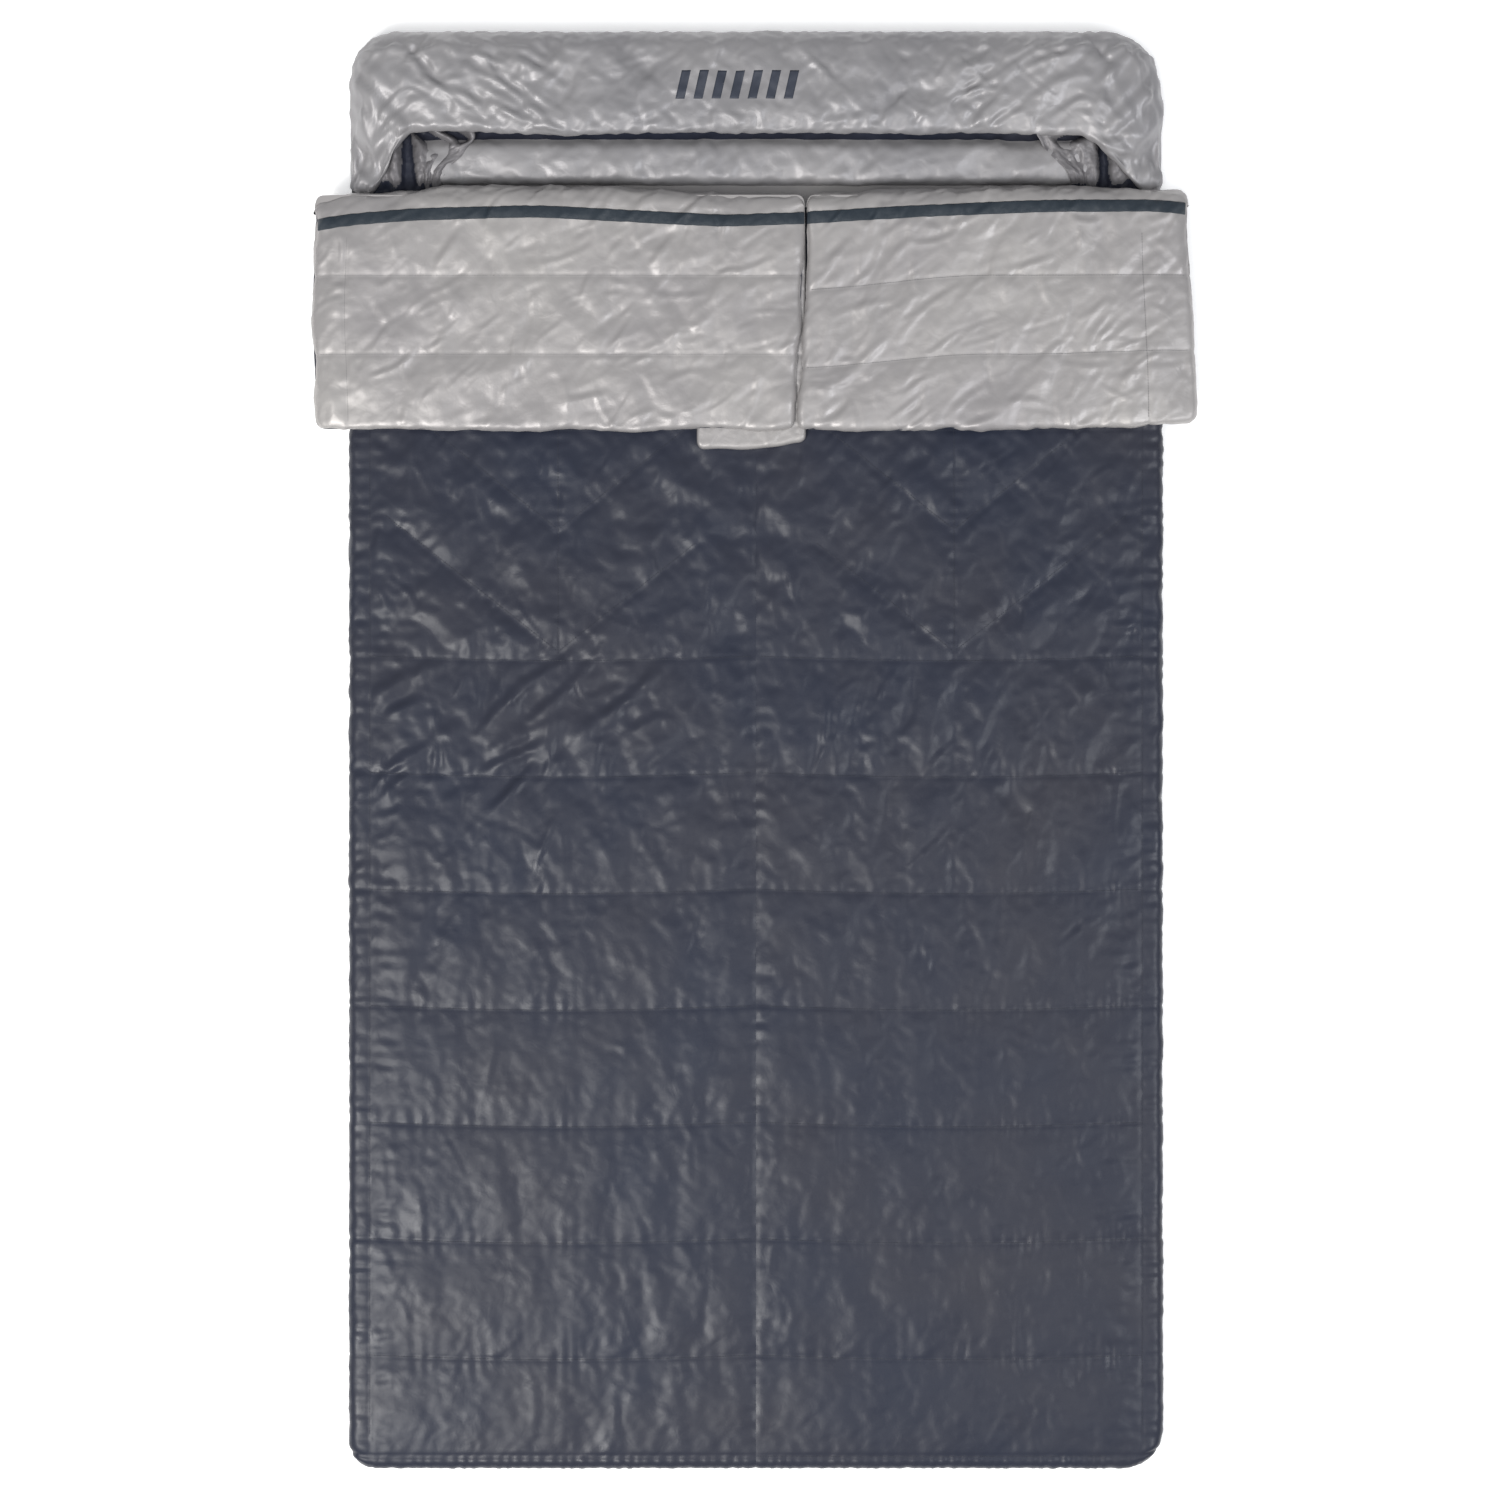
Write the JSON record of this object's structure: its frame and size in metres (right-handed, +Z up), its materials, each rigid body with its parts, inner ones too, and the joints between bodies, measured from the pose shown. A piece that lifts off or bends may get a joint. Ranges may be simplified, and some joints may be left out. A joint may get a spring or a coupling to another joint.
{
  "type": "two-person camp quilt",
  "caption": "Two-person camp quilt laid flat: padded base with a pillow hood, quilted cover, and two fold-back flaps over zipped sides.",
  "frame": {"origin": "on the floor, under the middle of the whole object", "axes": "+Y along the object towards the head, +X to the right seen from above with the head at the top, +Z up"},
  "size_m": [1.37, 2.242, 0.1045],
  "materials": {
    "slate_shell": "satin",
    "grey_lining": "satin",
    "insulation": "matte",
    "dark_tape": "matte",
    "print_ink": "matte",
    "zip_tape": "matte",
    "zip_coil": "satin",
    "zip_metal": "satin"
  },
  "bodies": {
    "bag": {"base_shell": "slate_shell", "base_fill": "insulation", "base_lining": "grey_lining", "head_pad_cover": "grey_lining", "head_pad_fill": "insulation", "hood_shell": "grey_lining", "hood_fill": "insulation", "hood_lining": "grey_lining", "hood_print": "print_ink", "left_hood_gusset": "grey_lining", "right_hood_gusset": "grey_lining", "quilt_lining": "grey_lining", "left_quilt_fill": "insulation", "right_quilt_fill": "insulation", "left_quilt_shell": "slate_shell", "right_quilt_shell": "slate_shell", "left_edge_band": "slate_shell", "right_edge_band": "slate_shell", "foot_edge_band": "slate_shell", "left_side_wall": "slate_shell", "right_side_wall": "slate_shell", "foot_wall": "slate_shell", "left_fold_roll": "grey_lining", "right_fold_roll": "grey_lining", "left_zip_base_tape": "zip_tape", "left_zip_quilt_tape": "zip_tape", "left_zip_base_coil": "zip_coil", "left_zip_quilt_coil": "zip_coil", "left_zip_stops": "zip_metal", "right_zip_base_tape": "zip_tape", "right_zip_quilt_tape": "zip_tape", "right_zip_base_coil": "zip_coil", "right_zip_quilt_coil": "zip_coil", "right_zip_stops": "zip_metal"},
    "left_flap": {"left_flap_shell": "slate_shell", "left_flap_fill": "insulation", "left_flap_lining": "grey_lining", "left_flap_tape": "dark_tape"},
    "right_flap": {"right_flap_shell": "slate_shell", "right_flap_fill": "insulation", "right_flap_lining": "grey_lining", "right_flap_tape": "dark_tape", "right_flap_underlap": "grey_lining"},
    "left_slider": {"left_zip_slider": "zip_metal"},
    "right_slider": {"right_zip_slider": "zip_metal"},
    "left_pull": {"left_zip_pull": "zip_metal"},
    "right_pull": {"right_zip_pull": "zip_metal"}
  },
  "joints": [
    {"name": "left_flap_fold", "type": "hinge", "parent": "bag", "child": "left_flap", "pos_m": [-0.3, 0.845, 0.0745], "axis": [-1, 0, 0], "range_deg": [0, 150], "deforming": ["left_fold_roll"]},
    {"name": "right_flap_fold", "type": "hinge", "parent": "bag", "child": "right_flap", "pos_m": [0.38, 0.845, 0.0745], "axis": [-1, 0, 0], "range_deg": [0, 150], "deforming": ["right_fold_roll", "right_flap_underlap"]},
    {"name": "left_zip_slide", "type": "slide", "parent": "bag", "child": "left_slider", "axis": [0, -1, 0], "range_m": [0, 1.1]},
    {"name": "right_zip_slide", "type": "slide", "parent": "bag", "child": "right_slider", "axis": [0, -1, 0], "range_m": [0, 1.1]},
    {"name": "left_pull_swing", "type": "hinge", "parent": "left_slider", "child": "left_pull", "pos_m": [-0.6276, 0.781, 0.033], "axis": [0, 0, -1], "range_deg": [0, 150]},
    {"name": "right_pull_swing", "type": "hinge", "parent": "right_slider", "child": "right_pull", "pos_m": [0.6276, 0.781, 0.033], "axis": [0, 0, 1], "range_deg": [0, 150]}
  ]
}
